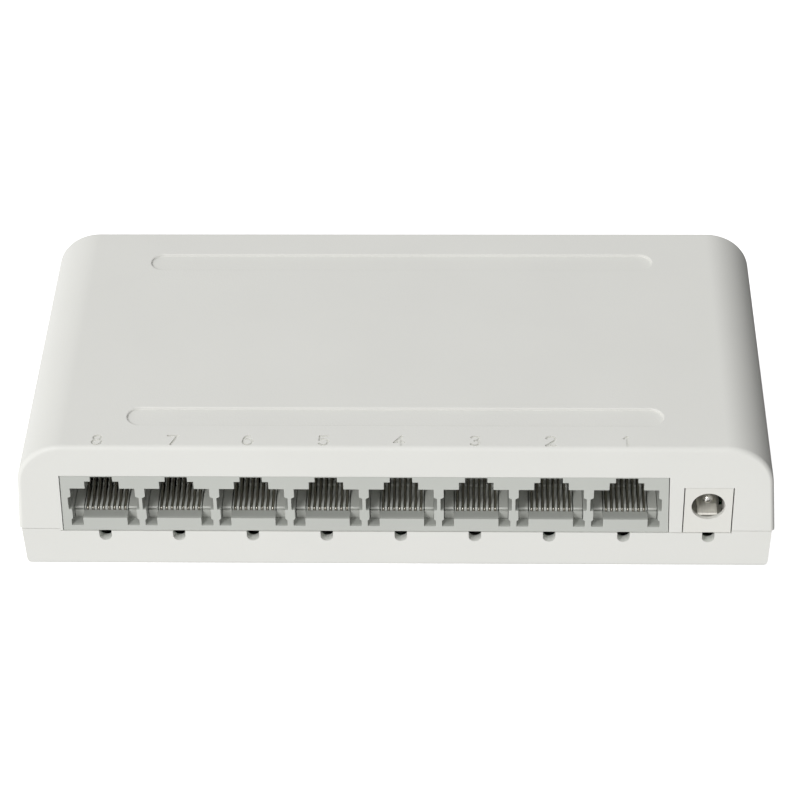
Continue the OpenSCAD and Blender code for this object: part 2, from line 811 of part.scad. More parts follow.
module inductor() {
    color(ferrite_black) on_board(inductor_at) translate([0, 0, stand_off]) {
        translate([-inductor[0] / 2, -inductor[1] / 2, 0]) cube([inductor[0], inductor[1], 1]);
        cylinder(d = inductor[0] - 1.6, h = inductor[2] - 0.5);
        translate([0, 0, inductor[2] - 1]) cylinder(d = inductor[0], h = 1);
    }
}

module chip_rows(rows) {
    for (row = rows, i = [0:row[1] - 1]) on_board(row[0] + i * row[2]) rotate(row[3])
        translate([-chip_size[0] / 2, -chip_size[1] / 2, eps]) cube(chip_size);
}

module resistors() {
    color(package_black) chip_rows(resistor_rows);
}

module ceramic_capacitors() {
    color(ceramic_brown) chip_rows(ceramic_rows);
}

top_cover();
bottom_cover();
cover_screws();
board_screws();
for (i = [0:3]) foot(i);
circuit_board();
jack_housing();
contact_carriers();
for (n = [1:port_count]) port_contacts(n);
for (n = [1:port_count]) port_leads(n);
for (n = [1:port_count]) lamp(port_x(n) + mark_shift);
lamp(inlet_x + power_mark_shift);  // led_power
inlet_housing();
inlet_pin();
inlet_spring();
inlet_ground_tail();
inlet_switch_tail();
package(chip, chip_at);  // switch_chip
switch_chip_pins();
for (k = [1:4]) package(transformer, transformer_at(k));
transformer_pins();
crystal();
for (k = [1:3]) capacitor(capacitors[k - 1]);
inductor();
package(regulator, regulator_at);
package(memory, memory_at);  // config_memory
small_chip_pins();
resistors();
ceramic_capacitors();
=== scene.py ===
import math

import bmesh
import bpy
from mathutils import Matrix, Vector


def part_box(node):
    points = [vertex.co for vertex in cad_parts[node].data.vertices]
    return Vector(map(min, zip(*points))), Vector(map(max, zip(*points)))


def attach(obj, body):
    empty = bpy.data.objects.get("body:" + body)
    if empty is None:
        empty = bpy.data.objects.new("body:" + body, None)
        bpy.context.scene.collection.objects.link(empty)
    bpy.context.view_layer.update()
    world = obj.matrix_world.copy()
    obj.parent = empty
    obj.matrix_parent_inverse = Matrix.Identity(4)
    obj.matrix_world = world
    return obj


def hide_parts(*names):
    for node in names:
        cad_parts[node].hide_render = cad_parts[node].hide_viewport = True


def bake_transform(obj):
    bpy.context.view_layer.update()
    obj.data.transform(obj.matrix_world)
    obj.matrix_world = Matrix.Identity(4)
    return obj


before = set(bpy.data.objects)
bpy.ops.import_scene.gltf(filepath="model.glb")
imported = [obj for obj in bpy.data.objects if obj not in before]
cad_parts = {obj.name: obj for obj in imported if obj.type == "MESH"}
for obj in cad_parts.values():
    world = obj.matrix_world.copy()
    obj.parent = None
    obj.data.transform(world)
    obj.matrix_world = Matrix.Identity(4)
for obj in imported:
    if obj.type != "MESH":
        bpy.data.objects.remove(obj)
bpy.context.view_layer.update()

MM = 0.001

# Casing sizes, in millimetres. The grooves and numerals differ slightly from the CAD source
DRAFT_DEG = 4.4
SHOULDER_R = 9.0
WALL = 1.8
RIM_STEP = 0.4
RIM_GAP = 0.12
STEP_HALF_W = 63.3
EDGE_R = 0.85
GROOVE_L = 100.0
GROOVE_W = 5.0
GROOVE_DEPTH = 0.45
GROOVE_RIM_R = 0.25
GROOVE_FLOOR_R = 0.1
GROOVE_BACKS = (9.2, 57.9)
NUMERAL_W = 2.2
NUMERAL_H = 3.0
NUMERAL_STROKE = 0.46
STROKE_END = 0.9         # a stroke reaches past its end points by this share of half its width
NUMERAL_BACK = 2.2
NUMERAL_DEPTH = 0.35
NUMERAL_SHIFT = -0.25
PORT_COUNT = 8
PORT_PITCH = 13.97
WINDOW_GAP = 0.15
INLET_GAP = 0.22
BANK_TAPER = 0.4
COVER_BOSSES = ((-66.2, -26.0), (66.2, -26.0), (-60.0, 28.3), (60.0, 28.3))
BOSS_R = 2.6
PILOT_R = 0.95
PILOT_DEPTH = 9.0
BOSS_INSET = 0.5         # the bosses stop this far inside the front and back faces
LIP_LOW = 0.05           # where the parting line is lower, a lip on the front wall runs between these
LIP_HIGH = 1.0           # heights over the board

# Wires of a jack, in millimetres from the jack's face and the board
WIRE_PITCH = 1.016
WIRE_COUNT = 8
WIRE_R = 0.21
BEND_AT = (3.0, 3.1)
BEND_R = 0.5
WIRE_SLOPE_DEG = 24.0
WIRE_FREE_L = 9.6
TAIL_ROWS = (13.2, 15.74)
TAIL_LOW = -2.8
TAIL_BEND_R = 0.35

# Edges: shading breaks above the first angle, or the second on wires, and a radius is put on edges
# above the third. Faces within the fourth of each other count as one, and so do points within the
# distance, in metres.
SHARP_DEG = 32.0
WIRE_SHARP_DEG = 50.0
ROUND_DEG = 40.0
FLAT_DEG = 0.5
WELD_DISTANCE = 0.000002

# How far the cutters reach past the faces they cut, in millimetres
CUT_PAST = 1.0
CUT_ABOVE = 0.5

# Places read off the frame, in millimetres
case_low, case_high = (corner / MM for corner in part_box("top_cover"))
jack_low, jack_high = (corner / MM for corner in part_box("jack_housing"))
inlet_low, inlet_high = (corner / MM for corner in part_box("inlet_housing"))
half_w = (case_high.x - case_low.x) / 2
front_y = case_low.y
back_y = case_high.y
roof_z = case_high.z
seat_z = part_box("circuit_board")[1].z / MM
jack_face = jack_low.y
bank_x = (jack_low.x + jack_high.x) / 2


def port_x(number):
    return bank_x + ((PORT_COUNT + 1) / 2 - number) * PORT_PITCH


# Materials

# Nearly all of a noise texture's values lie between these
NOISE_LOW = 0.3
NOISE_HIGH = 0.7


def shader(name, colour, roughness, **sockets):
    """A new material with a Principled shader. Returns the material, its node tree and the shader."""
    material = bpy.data.materials.new(name)
    material.use_nodes = True
    tree = material.node_tree
    bsdf = tree.nodes["Principled BSDF"]
    bsdf.inputs["Base Color"].default_value = (*colour, 1)
    bsdf.inputs["Roughness"].default_value = roughness
    for socket, value in sockets.items():
        bsdf.inputs[socket].default_value = value
    return material, tree, bsdf


def noise(tree, scale, detail=3.0, stretch=(1, 1, 1)):
    """Noise in the object's own coordinates, with scale in features per metre."""
    place = tree.nodes.new("ShaderNodeTexCoord")
    mapping = tree.nodes.new("ShaderNodeMapping")
    mapping.inputs["Scale"].default_value = stretch
    texture = tree.nodes.new("ShaderNodeTexNoise")
    texture.inputs["Scale"].default_value = scale
    texture.inputs["Detail"].default_value = detail
    tree.links.new(place.outputs["Object"], mapping.inputs["Vector"])
    tree.links.new(mapping.outputs["Vector"], texture.inputs["Vector"])
    return texture.outputs["Fac"]


def spread(tree, value, low, high, colour=False):
    """Maps the usual range of a noise onto a range of numbers or of colours."""
    if not colour:
        node = tree.nodes.new("ShaderNodeMapRange")
        node.inputs["From Min"].default_value = NOISE_LOW
        node.inputs["From Max"].default_value = NOISE_HIGH
        node.inputs["To Min"].default_value = low
        node.inputs["To Max"].default_value = high
        tree.links.new(value, node.inputs["Value"])
        return node.outputs["Result"]
    node = tree.nodes.new("ShaderNodeValToRGB")
    node.color_ramp.elements[0].position = NOISE_LOW
    node.color_ramp.elements[0].color = (*low, 1)
    node.color_ramp.elements[1].position = NOISE_HIGH
    node.color_ramp.elements[1].color = (*high, 1)
    tree.links.new(value, node.inputs["Fac"])
    return node.outputs["Color"]


def ramp(tree, value, start, end, low, high):
    """Eases from one number to another as a value runs from start to end."""
    node = tree.nodes.new("ShaderNodeMapRange")
    node.interpolation_type = "SMOOTHSTEP"
    node.inputs["From Min"].default_value = start
    node.inputs["From Max"].default_value = end
    node.inputs["To Min"].default_value = low
    node.inputs["To Max"].default_value = high
    tree.links.new(value, node.inputs["Value"])
    return node.outputs["Result"]


def bump(tree, bsdf, height, depth, strength=1.0):
    """Raises the surface by a height map, depth metres from 0 to 1. Calls stack."""
    node = tree.nodes.new("ShaderNodeBump")
    node.inputs["Strength"].default_value = strength
    node.inputs["Distance"].default_value = depth
    tree.links.new(height, node.inputs["Height"])
    normal = bsdf.inputs["Normal"]
    if normal.is_linked:
        tree.links.new(normal.links[0].from_socket, node.inputs["Normal"])
    tree.links.new(node.outputs["Normal"], normal)


def tinted(colour, share):
    return tuple(channel * share for channel in colour)


def moulded_plastic(name, colour, roughness, grain=2600.0, grain_depth=0.00002, mottle=0.03, **sockets):
    """Moulded plastic: faint mottling of the colour, a fine spark-eroded grain and uneven gloss."""
    material, tree, bsdf = shader(name, colour, roughness, **sockets)
    cloud = noise(tree, scale=45.0, detail=4.0)
    tree.links.new(
        spread(tree, cloud, tinted(colour, 1 - mottle), tinted(colour, 1 + mottle), colour=True),
        bsdf.inputs["Base Color"],
    )
    fine = noise(tree, scale=grain, detail=2.0)
    tree.links.new(spread(tree, fine, roughness - 0.06, roughness + 0.08), bsdf.inputs["Roughness"])
    bump(tree, bsdf, noise(tree, scale=120.0, detail=2.0), depth=0.00004, strength=0.35)
    bump(tree, bsdf, fine, depth=grain_depth)
    return material


def rolled_metal(name, colour, roughness, stretch=(1, 1, 1), scale=900.0, depth=0.000006, metallic=1.0):
    """Plated metal with faint rolling marks, which run along the axes with the smallest stretch."""
    material, tree, bsdf = shader(name, colour, roughness, Metallic=metallic)
    marks = noise(tree, scale, detail=4.0, stretch=stretch)
    tree.links.new(
        spread(tree, marks, tinted(colour, 0.86), tinted(colour, 1.06), colour=True),
        bsdf.inputs["Base Color"],
    )
    tree.links.new(spread(tree, marks, roughness * 0.7, roughness * 1.4), bsdf.inputs["Roughness"])
    bump(tree, bsdf, marks, depth)
    return material


def painted_shade_inwards(material, depth_mm, share):
    """Painted shade: darkens a plastic behind the jacks' faces, more the deeper it lies in the ports, as
    shade falls there.
    """
    tree = material.node_tree
    base = tree.nodes["Principled BSDF"].inputs["Base Color"]
    place = tree.nodes.new("ShaderNodeTexCoord")
    split = tree.nodes.new("ShaderNodeSeparateXYZ")
    tree.links.new(place.outputs["Object"], split.inputs["Vector"])
    face = jack_face * MM
    # painted shade: the colour falls to the given share over depth_mm behind the jacks' faces
    level = ramp(tree, split.outputs["Y"], face, face + depth_mm * MM, 1.0, share)
    scale = tree.nodes.new("ShaderNodeVectorMath")
    scale.operation = "SCALE"
    tree.links.new(base.links[0].from_socket, scale.inputs[0])
    tree.links.new(level, scale.inputs["Scale"])
    tree.links.new(scale.outputs["Vector"], base)
    return material


def solder_mask():
    """Green board with darker and lighter copper runs under the mask."""
    material, tree, bsdf = shader("board_laminate", (0.02, 0.14, 0.06), 0.32, **{"Coat Weight": 0.4})
    place = tree.nodes.new("ShaderNodeTexCoord")
    bricks = tree.nodes.new("ShaderNodeTexBrick")
    bricks.inputs["Scale"].default_value = 180.0
    bricks.inputs["Mortar Size"].default_value = 0.03
    bricks.inputs["Mortar Smooth"].default_value = 0.1
    bricks.inputs["Color1"].default_value = (0.016, 0.12, 0.05, 1)
    bricks.inputs["Color2"].default_value = (0.024, 0.17, 0.075, 1)
    bricks.inputs["Mortar"].default_value = (0.05, 0.27, 0.12, 1)
    tree.links.new(place.outputs["Object"], bricks.inputs["Vector"])
    tree.links.new(bricks.outputs["Color"], bsdf.inputs["Base Color"])
    bump(tree, bsdf, bricks.outputs["Fac"], depth=0.00002)
    bump(tree, bsdf, noise(tree, scale=700.0, detail=3.0), depth=0.000008)
    return material


PAINTS = {
    "casing_plastic": moulded_plastic("casing_plastic", (0.80, 0.80, 0.765), 0.46, mottle=0.012),
    # jack plastic with painted shade, darker behind the jacks' faces
    "jack_plastic": painted_shade_inwards(
        moulded_plastic("jack_plastic", (0.545, 0.56, 0.525), 0.5, grain=3800.0, grain_depth=0.000012),
        depth_mm=0.9,
        share=0.8,
    ),
    "carrier_plastic": moulded_plastic(
        "carrier_plastic", (0.56, 0.57, 0.535), 0.52, grain=3800.0, grain_depth=0.000012, mottle=0.04
    ),
    "inlet_plastic": moulded_plastic(
        "inlet_plastic", (0.79, 0.785, 0.74), 0.4, grain=4200.0, grain_depth=0.000008, mottle=0.02
    ),
    "foot_rubber": moulded_plastic("foot_rubber", (0.03, 0.03, 0.032), 0.75, grain=1500.0, mottle=0.2),
    "screw_steel": rolled_metal("screw_steel", (0.62, 0.62, 0.60), 0.3),
    "board_laminate": solder_mask(),
    "contact_gold": rolled_metal(
        "contact_gold", (0.42, 0.395, 0.34), 0.14, stretch=(1, 0.1, 0.1), scale=3000.0
    ),
    "lamp_resin": moulded_plastic("lamp_resin", (0.74, 0.74, 0.62), 0.25, mottle=0.05),
    "pin_nickel": rolled_metal("pin_nickel", (0.80, 0.79, 0.76), 0.16, scale=1500.0),
    "leaf_nickel": rolled_metal(
        "leaf_nickel", (0.92, 0.90, 0.83), 0.42, stretch=(4, 0.3, 0.3), scale=700.0, metallic=0.4
    ),
    "package_epoxy": moulded_plastic("package_epoxy", (0.018, 0.018, 0.02), 0.55, mottle=0.12),
    "transformer_epoxy": moulded_plastic("transformer_epoxy", (0.022, 0.022, 0.025), 0.5, mottle=0.12),
    "pin_tin": rolled_metal("pin_tin", (0.68, 0.68, 0.67), 0.34, scale=2500.0),
    "can_nickel": rolled_metal("can_nickel", (0.70, 0.70, 0.68), 0.27, stretch=(0.2, 3, 1)),
    "capacitor_sleeve": moulded_plastic("capacitor_sleeve", (0.015, 0.022, 0.09), 0.28, mottle=0.1),
    "ferrite": moulded_plastic("ferrite", (0.05, 0.05, 0.052), 0.7, grain=1800.0, mottle=0.15),
    "resistor_film": moulded_plastic("resistor_film", (0.018, 0.018, 0.018), 0.35, mottle=0.1),
    "capacitor_ceramic": moulded_plastic("capacitor_ceramic", (0.36, 0.24, 0.12), 0.4, mottle=0.08),
}


# Mesh helpers


def mesh_object(name, verts_mm, faces):
    mesh = bpy.data.meshes.new(name)
    mesh.from_pydata([Vector(v) * MM for v in verts_mm], [], faces)
    piece = bpy.data.objects.new(name, mesh)
    bpy.context.scene.collection.objects.link(piece)
    return piece


def solid(name, verts_mm, faces):
    """A closed mesh with all its faces turned outwards."""
    piece = mesh_object(name, verts_mm, faces)
    work = bmesh.new()
    work.from_mesh(piece.data)
    bmesh.ops.recalc_face_normals(work, faces=work.faces)
    work.to_mesh(piece.data)
    work.free()
    return piece


def loft(name, rings):
    """A closed solid through rings of points, each ring with as many points as the others."""
    count = len(rings[0])
    verts = [p for ring in rings for p in ring]
    faces = [tuple(range(count))[::-1], tuple(range((len(rings) - 1) * count, len(rings) * count))]
    for k in range(len(rings) - 1):
        low, high = k * count, (k + 1) * count
        for i in range(count):
            j = (i + 1) % count
            faces.append((low + i, low + j, high + j, high + i))
    return solid(name, verts, faces)


def block(name, low, high):
    (x0, y0, z0), (x1, y1, z1) = low, high
    return loft(name, [[(x0, y0, z), (x1, y0, z), (x1, y1, z), (x0, y1, z)] for z in (z0, z1)])


def drum(name, x, y, radius, z0, z1, sides=40):
    ring = [(math.cos(2 * math.pi * i / sides), math.sin(2 * math.pi * i / sides)) for i in range(sides)]
    return loft(name, [[(x + radius * c, y + radius * s, z) for c, s in ring] for z in (z0, z1)])


def combine(piece, tool, operation):
    """Applies a boolean with another object, which is then deleted."""
    modifier = piece.modifiers.new("combine", "BOOLEAN")
    modifier.operation = operation
    modifier.solver = "EXACT"
    modifier.object = tool
    graph = bpy.context.evaluated_depsgraph_get()
    result = bpy.data.meshes.new_from_object(piece.evaluated_get(graph))
    piece.modifiers.clear()
    old = piece.data
    piece.data = result
    bpy.data.meshes.remove(old)
    bpy.data.objects.remove(tool)


def shade(piece, paint, sharp_deg=SHARP_DEG):
    """Gives the piece its material, and smooth shading broken at its sharp edges."""
    mesh = piece.data
    mesh.materials.clear()
    mesh.materials.append(PAINTS[paint])
    work = bmesh.new()
    work.from_mesh(mesh)
    limit = math.radians(sharp_deg)
    for face in work.faces:
        face.smooth = True
    for edge in work.edges:
        edge.smooth = len(edge.link_faces) == 2 and edge.calc_face_angle(0.0) < limit
    work.to_mesh(mesh)
    work.free()
    weighted = piece.modifiers.new("weighted", "WEIGHTED_NORMAL")
    weighted.keep_sharp = True


def shading_group():
    """Smooth faces with the sharper edges kept sharp, as a modifier's node group."""
    group = bpy.data.node_groups.new("smooth_by_angle", "GeometryNodeTree")
    group.interface.new_socket("Geometry", in_out="INPUT", socket_type="NodeSocketGeometry")
    group.interface.new_socket("Geometry", in_out="OUTPUT", socket_type="NodeSocketGeometry")
    start = group.nodes.new("NodeGroupInput")
    end = group.nodes.new("NodeGroupOutput")
    faces = group.nodes.new("GeometryNodeSetShadeSmooth")
    edges = group.nodes.new("GeometryNodeSetShadeSmooth")
    edges.domain = "EDGE"
    edges.inputs["Shade Smooth"].default_value = False
    angle = group.nodes.new("GeometryNodeInputMeshEdgeAngle")
    compare = group.nodes.new("FunctionNodeCompare")
    compare.operation = "GREATER_THAN"
    compare.inputs["B"].default_value = math.radians(SHARP_DEG)
    group.links.new(start.outputs["Geometry"], faces.inputs["Geometry"])
    group.links.new(faces.outputs["Geometry"], edges.inputs["Geometry"])
    group.links.new(angle.outputs["Unsigned Angle"], compare.inputs["A"])
    group.links.new(compare.outputs["Result"], edges.inputs["Selection"])
    group.links.new(edges.outputs["Geometry"], end.inputs["Geometry"])
    return group


SMOOTH_BY_ANGLE = shading_group()


# Nodes that keep their CAD shape: paint, edge radius in millimetres and segments of that radius
DRESSES = {
    "bottom_cover": ("casing_plastic", 0.25, 3),
    "jack_housing": ("jack_plastic", 0.08, 2),
    "contact_carriers": ("carrier_plastic", 0.06, 2),
    "inlet_housing": ("inlet_plastic", 0.12, 3),
    "inlet_pin": ("pin_nickel", 0.0, 2),
    "inlet_spring": ("leaf_nickel", 0.05, 2),
    "inlet_ground_tail": ("leaf_nickel", 0.05, 2),
    "inlet_switch_tail": ("leaf_nickel", 0.05, 2),
    "circuit_board": ("board_laminate", 0.05, 2),
    "cover_screws": ("screw_steel", 0.08, 2),
    "board_screws": ("screw_steel", 0.08, 2),
    "switch_chip": ("package_epoxy", 0.15, 2),
    "config_memory": ("package_epoxy", 0.1, 2),
    "regulator": ("package_epoxy", 0.1, 2),
    "crystal": ("can_nickel", 0.15, 2),
    "inductor": ("ferrite", 0.15, 2),
    "resistors": ("resistor_film", 0.04, 2),
    "ceramic_capacitors": ("capacitor_ceramic", 0.06, 2),
}
for n in range(1, 5):
    DRESSES[f"foot_{n}"] = ("foot_rubber", 0.1, 2)
    DRESSES[f"transformer_{n}"] = ("transformer_epoxy", 0.3, 2)
for n in range(1, 4):
    DRESSES[f"capacitor_{n}"] = ("capacitor_sleeve", 0.1, 2)
for node in ("switch_chip_pins", "transformer_pins", "small_chip_pins"):
    DRESSES[node] = ("pin_tin", 0.0, 2)
for node in [f"led_{n}" for n in range(1, PORT_COUNT + 1)] + ["led_power"]:
    DRESSES[node] = ("lamp_resin", 0.05, 2)


def dress(node, paint, edge_mm, segments):
    """Keeps a CAD node's shape, breaks its sharp edges with a small radius and paints it."""
    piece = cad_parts[node]
    if not piece.material_slots:
        piece.data.materials.append(None)
    for place in piece.material_slots:
        place.link = "OBJECT"
        place.material = PAINTS[paint]
    weld = piece.modifiers.new("weld", "WELD")
    weld.merge_threshold = WELD_DISTANCE
    if edge_mm:
        flatten = piece.modifiers.new("flatten", "DECIMATE")
        flatten.decimate_type = "DISSOLVE"
        flatten.angle_limit = math.radians(FLAT_DEG)
        bevel = piece.modifiers.new("edges", "BEVEL")
        bevel.width = edge_mm * MM
        bevel.segments = segments
        bevel.limit_method = "ANGLE"
        bevel.angle_limit = math.radians(ROUND_DEG)
        bevel.use_clamp_overlap = True
    smooth = piece.modifiers.new("smooth", "NODES")
    smooth.node_group = SMOOTH_BY_ANGLE
    weighted = piece.modifiers.new("weighted", "WEIGHTED_NORMAL")
    weighted.keep_sharp = True


# Upper cover


def arch(inset, low):
    """Section of the upper cover in x and z, from low above the board: drafted sides, round shoulders."""
    lean = math.radians(DRAFT_DEG)
    radius = SHOULDER_R - inset
    height = roof_z - seat_z - inset
    # the widest place is the cover's rim, a little above the board
    foot = half_w + (RIM_STEP + RIM_GAP) * math.tan(lean) - inset
    centre_x = foot - (radius + (height - radius) * math.sin(lean)) / math.cos(lean)
    centre_z = height - radius
    steps = 28
    right = [(foot - low * math.tan(lean), low)]
    for i in range(steps + 1):
        turn = lean + (math.pi / 2 - lean) * i / steps
        right.append((centre_x + radius * math.cos(turn), centre_z + radius * math.sin(turn)))
    return [(x, z + seat_z) for x, z in right] + [(-x, z + seat_z) for x, z in reversed(right)]


def arch_solid(name, inset, low, y0, y1, edge_r=0.0):
    """The section run from y0 to y1, with both end edges rounded if edge_r is given."""
    steps = 7
    stations = []
    for i in range(steps + 1 if edge_r else 1):
        turn = math.pi / 2 * i / steps if edge_r else math.pi / 2
        stations.append((edge_r * (1 - math.cos(turn)), edge_r * (1 - math.sin(turn))))
    places = [(y0 + along, extra) for along, extra in stations]
    places += [(y1 - along, extra) for along, extra in reversed(stations)]
    return loft(name, [[(x, y, z) for x, z in arch(inset + extra, low)] for y, extra in places])


def stadium(half_length, radius, steps=14):
    """A slot's outline in x and y, centred."""
    points = []
    for side, start in ((1, -math.pi / 2), (-1, math.pi / 2)):
        for i in range(steps + 1):
            turn = start + math.pi * i / steps
            points.append((side * half_length + radius * math.cos(turn), radius * math.sin(turn)))
    return points


def groove_tool(back):
    """Cutter for one roof groove: a flat floor, a small radius at the floor and one at the rim."""
    centre_y = front_y + back
    half = GROOVE_L / 2 - GROOVE_W / 2
    floor, rim = GROOVE_FLOOR_R, GROOVE_RIM_R
    floor_steps, rim_steps = 4, 6
    rim_turn = math.radians(80)
    levels = []
    for i in range(floor_steps + 1):
        turn = math.pi / 2 * i / floor_steps
        across = GROOVE_W / 2 - floor + floor * math.sin(turn)
        levels.append((across, -GROOVE_DEPTH + floor * (1 - math.cos(turn))))
    for i in range(rim_steps + 1):
        turn = rim_turn * i / rim_steps
        levels.append((GROOVE_W / 2 + rim * (1 - math.cos(turn)), -rim + rim * math.sin(turn)))
    levels.append((levels[-1][0] + 0.01, CUT_ABOVE))
    rings = [[(x, centre_y + y, roof_z + z) for x, y in stadium(half, radius)] for radius, z in levels]
    return loft("groove_tool", rings)


def oval(centre_y, half_w, half_h, start_deg, end_deg, steps=16):
    turns = [math.radians(start_deg + (end_deg - start_deg) * i / steps) for i in range(steps + 1)]
    return [(half_w * math.cos(t), centre_y + half_h * math.sin(t)) for t in turns]


def numeral_strokes(number):
    """Centre lines of a plain digit, as runs of points about its middle."""
    w, h = (NUMERAL_W - NUMERAL_STROKE) / 2, (NUMERAL_H - NUMERAL_STROKE) / 2
    return {
        1: [[(0.1, -h), (0.1, h)], [(-0.5, h - 0.5), (0.1, h)]],
        2: [oval(h - 0.75, w * 0.95, 0.75, 165, -35), [(w * 0.78, h - 1.18), (-w, -h)], [(-w, -h), (w, -h)]],
        3: [oval(h - 0.62, w * 0.85, 0.62, 150, -90), oval(0.67 - h, w * 0.92, 0.67, 90, -150)],
        4: [[(0.45, -h), (0.45, h)], [(0.45, h), (-w, -0.45)], [(-w, -0.45), (w, -0.45)]],
        5: [
            [(w * 0.8, h), (-w * 0.75, h)], [(-w * 0.75, h), (-w * 0.82, 0.12)],
            oval(0.85 - h, w, 0.85, 130, -150),
        ],
        6: [oval(0.82 - h, w, 0.82, 0, 360, 24), oval(0.82 - h, w, 2 * h - 0.82, 178, 68)],
        7: [[(-w, h), (w, h)], [(w, h), (-0.25, -h)]],
        8: [oval(h - 0.62, w * 0.82, 0.62, 0, 360, 24), oval(0.68 - h, w, 0.68, 0, 360, 24)],
    }[number]


def stroke_tool(points, centre):
    """Cutter along a run of points: upright sides, and ends cut square unless the run is closed."""
    half = NUMERAL_STROKE / 2
    line = [Vector(p) for p in points]
    closed = (line[0] - line[-1]).length < 0.001
    if closed:
        line.pop()
    else:
        line[0] -= (line[1] - line[0]).normalized() * half * STROKE_END
        line[-1] += (line[-1] - line[-2]).normalized() * half * STROKE_END
    count = len(line)
    verts, faces = [], []
    for i, point in enumerate(line):
        before = line[i - 1] if closed or i else point
        after = line[(i + 1) % count] if closed or i < count - 1 else point
        along = (after - before).normalized()
        across = Vector((-along.y, along.x)) * half
        low, high = -NUMERAL_DEPTH, CUT_ABOVE
        for side, z in ((across, low), (-across, low), (-across, high), (across, high)):
            place = Vector(centre) + point + side
            verts.append((place.x, place.y, roof_z + z))
    for i in range(count if closed else count - 1):
        j = (i + 1) % count
        faces += [(4 * i + k, 4 * i + (k + 1) % 4, 4 * j + (k + 1) % 4, 4 * j + k) for k in range(4)]
    if not closed:
        faces += [(0, 1, 2, 3), tuple(4 * (count - 1) + k for k in range(4))]
    return solid("stroke", verts, faces)


def window_tool(low, high, side_gap, taper):
    """Cutter for the opening around a block, narrower at the top by the taper at each end."""
    left, right = low.x - side_gap, high.x + side_gap
    bottom, top = seat_z - CUT_PAST, high.z + WINDOW_GAP
    outline = [(left, bottom), (right, bottom), (right - taper, top), (left + taper, top)]
    ends = (front_y - CUT_PAST, front_y + WALL + CUT_PAST)
    return loft("window", [[(x, y, z) for x, z in outline] for y in ends])


def make_top_cover():
    cover = arch_solid("top_cover_shell", 0.0, RIM_STEP + RIM_GAP, front_y, back_y, EDGE_R)
    combine(
        cover,
        block(
            "lip",
            (-STEP_HALF_W, front_y, seat_z + LIP_LOW),
            (STEP_HALF_W, front_y + WALL, seat_z + LIP_HIGH),
        ),
        "UNION",
    )
    combine(cover, arch_solid("hollow", WALL, -CUT_PAST, front_y + WALL, back_y - WALL), "DIFFERENCE")
    for x, y in COVER_BOSSES:
        boss = drum("boss", x, y, BOSS_R, seat_z + RIM_STEP, roof_z)
        combine(boss, drum("pilot", x, y, PILOT_R, seat_z, seat_z + PILOT_DEPTH), "DIFFERENCE")
        mid_wall = arch_solid("mid_wall", WALL / 2, -CUT_PAST, front_y + BOSS_INSET, back_y - BOSS_INSET)
        combine(boss, mid_wall, "INTERSECT")
        combine(cover, boss, "UNION")
    combine(cover, window_tool(jack_low, jack_high, WINDOW_GAP, BANK_TAPER), "DIFFERENCE")
    combine(cover, window_tool(inlet_low, inlet_high, INLET_GAP, 0.0), "DIFFERENCE")
    for back in GROOVE_BACKS:
        combine(cover, groove_tool(back), "DIFFERENCE")
    for number in range(1, PORT_COUNT + 1):
        centre = (port_x(number) + NUMERAL_SHIFT, front_y + NUMERAL_BACK)
        for points in numeral_strokes(number):
            combine(cover, stroke_tool(points, centre), "DIFFERENCE")
    shade(cover, "casing_plastic")
    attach(cover, "root")
    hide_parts("top_cover")


# Wires and springs


def sweep_tube(path, x, radius, sides=12):
    """Vertices and faces of a tube along a path of depth and height points, all at one x."""
    verts, faces = [], []
    for i, (y, z) in enumerate(path):
        before = path[max(i - 1, 0)]
        after = path[min(i + 1, len(path) - 1)]
        along = Vector((0, after[0] - before[0], after[1] - before[1])).normalized()
        across = Vector((0, -along.z, along.y))
        for k in range(sides):
            turn = 2 * math.pi * k / sides
            offset = Vector((radius * math.cos(turn), 0, 0)) + across * (radius * math.sin(turn))
            verts.append((x + offset.x, jack_face + y + offset.y, seat_z + z + offset.z))
    for i in range(len(path) - 1):
        for k in range(sides):
            j = (k + 1) % sides
            faces.append((i * sides + k, i * sides + j, (i + 1) * sides + j, (i + 1) * sides + k))
    faces.append(tuple(range(sides))[::-1])
    faces.append(tuple((len(path) - 1) * sides + k for k in range(sides)))
    return verts, faces


def arc(centre, radius, start_deg, end_deg, steps):
    turns = [math.radians(start_deg + (end_deg - start_deg) * i / steps) for i in range(steps + 1)]
    return [(centre[0] + radius * math.cos(t), centre[1] + radius * math.sin(t)) for t in turns]


def wire_path(row):
    """One contact wire, from its solder tail, along the floor, round the front bend and up the slope."""
    low = BEND_AT[1] - BEND_R
    path = [(row, TAIL_LOW), (row, low - TAIL_BEND_R)]
    path += arc((row - TAIL_BEND_R, low - TAIL_BEND_R), TAIL_BEND_R, 0, 90, 5)[1:]
    path += arc(BEND_AT, BEND_R, -90, -270 + WIRE_SLOPE_DEG, 14)
    slope = math.radians(WIRE_SLOPE_DEG)
    start = path[-1]
    for share in (0.35, 0.7, 1.0):
        reach = WIRE_FREE_L * share
        path.append((start[0] + reach * math.cos(slope), start[1] + reach * math.sin(slope)))
    return path


def make_wires(number):
    verts, faces = [], []
    for i in range(WIRE_COUNT):
        x = port_x(number) + (i - (WIRE_COUNT - 1) / 2) * WIRE_PITCH
        more_verts, more_faces = sweep_tube(wire_path(TAIL_ROWS[i % 2]), x, WIRE_R)
        faces += [tuple(v + len(verts) for v in face) for face in more_faces]
        verts += more_verts
    wires = mesh_object(f"port_{number}_wires", verts, faces)
    shade(wires, "contact_gold", WIRE_SHARP_DEG)
    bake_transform(wires)
    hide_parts(f"port_{number}_contacts", f"port_{number}_leads")


make_top_cover()
for port in range(1, PORT_COUNT + 1):
    make_wires(port)
for node, look in DRESSES.items():
    dress(node, *look)


# Floor, light and camera


